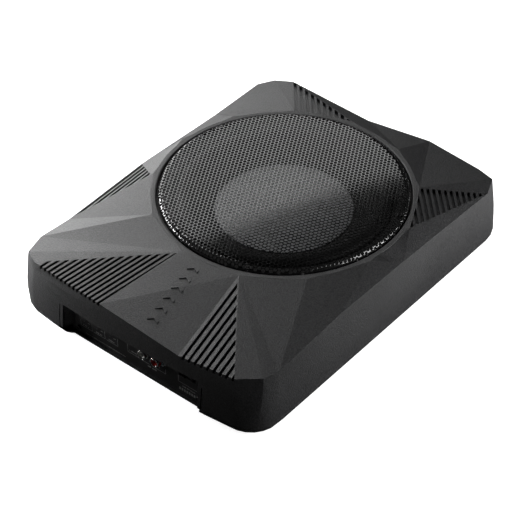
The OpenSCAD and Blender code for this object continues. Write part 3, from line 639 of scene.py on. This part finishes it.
softened("upper_housing", "housing_shell", ROOT, 0.45, 24, flat_above=0.55)
for node_name, piece, width, angle in (
        ("base_tray", "tray_shell", 0.4, 30),
        ("grille_seat_ring", "seat_ring", 0.2, 40),
        ("connector_panel", "panel_plate", 0.15, 40),
        ("power_connector", "power_socket_body", 0.25, 40),
        ("remote_socket", "remote_socket_body", 0.25, 40),
        ("rca_sleeves", "jack_sleeves", 0.2, 40),
        ("rca_insert_white", "jack_white", 0.2, 40),
        ("rca_insert_red", "jack_red", 0.2, 40),
        ("panel_screws", "panel_screw_heads", 0.15, 40),
        ("woofer_screws", "flange_screw_heads", 0.15, 40),
        ("housing_screws", "tray_screw_heads", 0.15, 40),
        ("mount_inserts", "bracket_insert_rings", 0.15, 40),
        ("woofer_basket", "basket_pressing", 0.3, 30)):
    softened(node_name, piece, ROOT, width, angle)
for knob in ("boost_knob", "low_pass_knob", "gain_knob"):
    softened(knob, knob + "_cap", knob, 0.15, 30)

# ---------------------------------------------------------------- turned and flexing woofer parts

# Millimetres, which turned() and lead() bring to metres
CONE_R = 77.0
ROLL_OUT = 91.0
LANDING_Z = 60.6
SKIN = 0.9
NECK_R, NECK_Z = 19.4, 49.0
CAP_R, CAP_SEAT_Z = 58.0, 48.0
CONE_EDGE_Z = 60.5
SPIDER_Z = 42.2
SECTORS = 16


def turned(name, profile, start=0.0, turn=360.0, steps=160):
    """A closed outline of (radius, height) points in millimetres, turned about the woofer axis."""
    bm = bmesh.new()
    whole = turn > 359.9
    count = steps if whole else steps + 1
    rings = []
    for i in range(count):
        a = math.radians(start + turn * i / steps)
        rings.append([bm.verts.new((r * MM * math.cos(a), WOOFER_Y + r * MM * math.sin(a), z * MM))
                      for r, z in profile])
    for i in range(steps):
        here, after = rings[i], rings[(i + 1) % count]
        for k in range(len(profile)):
            n = (k + 1) % len(profile)
            bm.faces.new((here[k], after[k], after[n], here[n]))
    bmesh.ops.remove_doubles(bm, verts=bm.verts, dist=WELD_DIST)
    bmesh.ops.recalc_face_normals(bm, faces=bm.faces)
    if not whole and facing_in(bm):
        bmesh.ops.reverse_faces(bm, faces=bm.faces[:])
    bm.normal_update()
    smooth_below(bm, lambda edge: CREASE)
    return mesh_from(name, bm)


def facing_in(bm):
    """True where the highest face of an open sector looks down."""
    bm.normal_update()
    top = max(bm.faces, key=lambda f: f.calc_center_median().z)
    return top.normal.z < 0


def cone_height(r):
    bend = CAP_R + 1
    if r < bend:
        return NECK_Z + (CAP_SEAT_Z - NECK_Z) * (r - NECK_R) / (bend - NECK_R)
    return CAP_SEAT_Z + (CONE_EDGE_Z - CAP_SEAT_Z) * (r - bend) / (CONE_R - bend)


def roll_arc(half, foot, height):
    """Half roll of the surround from its inner to its outer foot, eased at both."""
    mid = (CONE_R + ROLL_OUT) / 2
    arc = []
    for i in range(41):
        a = math.pi * i / 40
        lift = math.sin(a)
        ease = min(1.0, lift / 0.3)
        arc.append((mid - half * math.cos(a), foot + height * lift * (0.72 + 0.28 * ease)))
    return arc


def surround_outline():
    """Half roll, two fine ridges on the landing and a lip glued on the cone."""
    half, height = (ROLL_OUT - CONE_R) / 2, 5.2
    top = roll_arc(half, LANDING_Z + SKIN, height)
    ridges = [(91.5, 61.5), (91.7, 61.75), (92.1, 61.75), (92.3, 61.5), (92.7, 61.5), (92.9, 61.75),
              (93.3, 61.75), (93.5, 61.5)]
    under = roll_arc(half - SKIN, LANDING_Z, height - 0.1)[::-1]
    lip = [(r, cone_height(at) + lift) for r, at, lift in (
        (CONE_R - 1, CONE_R - 1, 0.06), (CONE_R - 3, CONE_R - 3, 0.06),
        (CONE_R - 3.1, CONE_R - 3, 0.5), (CONE_R - 2.6, CONE_R - 2.6, 0.9),
        (CONE_R - 1.2, CONE_R - 1.2, 1.2))]
    return top + ridges + [(93.5, LANDING_Z)] + under + lip


def flexing_ring(name, outline, steps):
    """Sectors of a ring, each turned from the outline as an object of its own."""
    for i in range(SECTORS):
        turn = 360.0 / SECTORS
        piece = placed("%s_%02d" % (name, i), turned(name, outline, i * turn, turn, steps),
                       node_slots[name])
        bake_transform(piece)
        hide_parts(name)


def spider_outline():
    """Corrugated cloth, closed at its glued rims."""
    base, sheet, wave, waves, steps = SPIDER_Z, 0.5, 0.7, 4, 96
    top = [(NECK_R, base + sheet)]
    for i in range(steps + 1):
        r = NECK_R + 2 + (51 - NECK_R - 2) * i / steps
        top.append((r, base + sheet + wave * math.sin(2 * math.pi * waves * i / steps)))
    top.append((59, base + sheet))
    return top + [(r, z - sheet) for r, z in reversed(top)]


def cone_outline():
    """Paper cone with two pressed rings and a thinned edge under the surround."""
    def dent(r):
        return sum(0.35 * math.exp(-((r - at) / 0.7) ** 2) for at in (64.0, 69.0))
    radii = [NECK_R + (CONE_R - NECK_R) * i / 120 for i in range(121)]
    top = [(r, cone_height(r) + dent(r) - 0.02) for r in radii if r < CONE_R - 4]
    top += [(CONE_R - 3, cone_height(CONE_R - 3) - 0.04), (CONE_R, CONE_EDGE_Z - 0.5)]
    under = [(r, cone_height(r) - 0.9 + dent(r) * 0.8) for r in reversed(radii)]
    return top + under


def cap_outline():
    """Shallow dust cap with a turned-down rim."""
    radius, rise, sheet = CAP_R, 4.6, 0.8
    foot = cone_height(radius) + 0.1
    ball = (radius ** 2 + rise ** 2) / (2 * rise)
    top = []
    for i in range(61):
        r = radius * i / 60
        z = foot + 0.5 + rise - ball + math.sqrt(ball ** 2 - r ** 2)
        top.append((r, z))
    rim = [(radius + 0.02, foot + 0.3), (radius, foot + 0.02), (radius - 0.9, foot + 0.02)]
    under = [(r, z - sheet) for r, z in reversed(top[:-1])]
    return top + rim + under


def lead(name, points, radius, twist, sides=8):
    """Flexible lead along given points, smoothed, with a shallow braid on its skin."""
    path = []
    for i in range(len(points) - 1):
        a, b, c, d = (Vector(points[max(0, min(len(points) - 1, i + k))]) for k in (-1, 0, 1, 2))
        for s in range(8):
            t = s / 8
            path.append(0.5 * ((2 * b) + (c - a) * t + (2 * a - 5 * b + 4 * c - d) * t * t
                               + (3 * b - a - 3 * c + d) * t ** 3))
    path.append(Vector(points[-1]))
    bm = bmesh.new()
    rings = []
    for i, at in enumerate(path):
        ahead = (path[min(i + 1, len(path) - 1)] - path[max(i - 1, 0)]).normalized()
        side = ahead.cross(Vector((1, 0, 0))).normalized()
        other = ahead.cross(side)
        ring = []
        for k in range(sides):
            a = 2 * math.pi * k / sides + twist * i
            r = radius * (1 + 0.06 * math.cos(3 * a + i * 1.3))
            ring.append(bm.verts.new((at + (side * math.cos(a) + other * math.sin(a)) * r) * MM))
        rings.append(ring)
    for here, after in zip(rings, rings[1:]):
        for k in range(sides):
            n = (k + 1) % sides
            bm.faces.new((here[k], here[n], after[n], after[k]))
    bm.faces.new(rings[0][::-1])
    bm.faces.new(rings[-1])
    bmesh.ops.recalc_face_normals(bm, faces=bm.faces)
    for face in bm.faces:
        face.smooth = len(face.verts) == 4
    return mesh_from(name, bm)


def make_woofer():
    flexing_ring("surround", surround_outline(), 14)
    flexing_ring("spider", spider_outline(), 8)
    cone = new_object("paper_cone", turned("paper_cone", cone_outline()), "cone_black", CONE_BODY)
    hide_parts("cone")
    cap = new_object("cap_dome", turned("cap_dome", cap_outline()), "cap_grey", CONE_BODY)
    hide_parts("dust_cap")
    for side, x in (("left", -6), ("right", 6)):
        points = [(x, y, z) for y, z in (
            (-58.9, 55.5), (-55.5, 54.2), (-51, 52.8), (-46, 51.8), (-42, 51.2))]
        piece = placed("lead_" + side, lead("lead_" + side, points, 0.6, 0.35),
                       node_slots["tinsel_leads"])
        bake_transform(piece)
        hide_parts("tinsel_leads")


make_woofer()

# ---------------------------------------------------------------- printed marks on the panel

PANEL_Y = -160 * MM
PRINT_T = 0.06 * MM
KNOB_XS = (-54.6, -40.6, -26.6)
KNOB_Z = 26
FRAME_LINE = 0.35


class Print:
    """Thin painted marks on the panel's face, in millimetres of X and Z."""

    def __init__(self):
        self.bm = bmesh.new()

    def bar(self, x0, z0, x1, z1):
        place = Matrix.Translation(((x0 + x1) / 2 * MM, PANEL_Y - PRINT_T / 2, (z0 + z1) / 2 * MM))
        size = Matrix.Diagonal(((x1 - x0) * MM, PRINT_T, (z1 - z0) * MM, 1))
        bmesh.ops.create_cube(self.bm, size=1, matrix=place @ size)

    def frame(self, x0, z0, x1, z1, sides):
        """Lines along the left, right and bottom of a box, as far as sides names them."""
        if "l" in sides:
            self.bar(x0, z0, x0 + FRAME_LINE, z1)
        if "r" in sides:
            self.bar(x1 - FRAME_LINE, z0, x1, z1)
        if "b" in sides:
            self.bar(x0, z0, x1, z0 + FRAME_LINE)

    def words(self, x0, x1, z, height, seed):
        """A stretch of blocks of uneven width that reads as small print but spells nothing."""
        chance = random.Random(seed)
        x = x0
        while x < x1 - 0.6:
            width = chance.uniform(0.45, 1.1) * height
            top = z + height * chance.choice((0.72, 1.0, 1.0))
            if x + width > x1:
                break
            self.bar(x, z, x + width, top)
            x += width + height * chance.choice((0.28, 0.28, 0.28, 0.9))

    def arc(self, x, z, radius, start, end, count, dot):
        """Square dots round a knob, between two angles in degrees."""
        for i in range(count):
            a = math.radians(start + (end - start) * i / (count - 1))
            px, pz = x + radius * math.cos(a), z + radius * math.sin(a)
            self.bar(px - dot / 2, pz - dot / 2, px + dot / 2, pz + dot / 2)


def make_print():
    marks = Print()
    for i, x in enumerate(KNOB_XS):
        marks.arc(x, KNOB_Z, 6.0, -50, 230, 11, 0.5)
        marks.bar(x - 4.2, 17.3, x - 1.8, 18.0)
        marks.bar(x + 1.8, 17.3, x + 4.2, 18.0)
        marks.words(x - 3.6, x + 3.6, 12.8, 1.2, 11 + i)
        marks.frame(x - 6.4, 11.4, x + 6.4, 20.0, "rb" if i else "lrb")
    marks.words(-56, -11, 4.8, 0.95, 21)
    marks.frame(-9.6, 12.9, 2.4, 34.0, "lrb")
    marks.words(-7.8, 0.8, 15.0, 1.2, 31)
    marks.frame(5.0, 12.6, 31.0, 18.0, "lrb")
    marks.words(11.8, 15.0, 9.6, 1.5, 41)
    marks.words(16.6, 21.0, 9.6, 1.5, 42)
    marks.bar(7.6, 15.2, 8.4, 16.8)
    marks.bar(23.8, 15.2, 24.6, 16.8)
    marks.frame(44.2, 13.6, 67.2, 34.6, "lb")
    marks.words(48.4, 62.0, 10.2, 1.2, 51)
    for i in range(8):
        marks.bar(44.8 + 2.5 * i, 5.6, 46.3 + 2.5 * i, 8.2)
    obj = linked("panel_print", mesh_from("panel_print", marks.bm))
    obj.data.materials.append(print_paint())
    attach(obj, ROOT)


def print_paint():
    """Silk-screened ink, a little thin in places."""
    m = Maker("print_ink")
    colour = m.ramp(m.noise(2400, 3), [(0.3, grey(0.20)), (0.7, grey(0.32))])
    m.bump(m.noise(3000, 2), 0.00001)
    return m.done(colour, m.spread(m.noise(800, 3), 0.5, 0.65))


make_print()
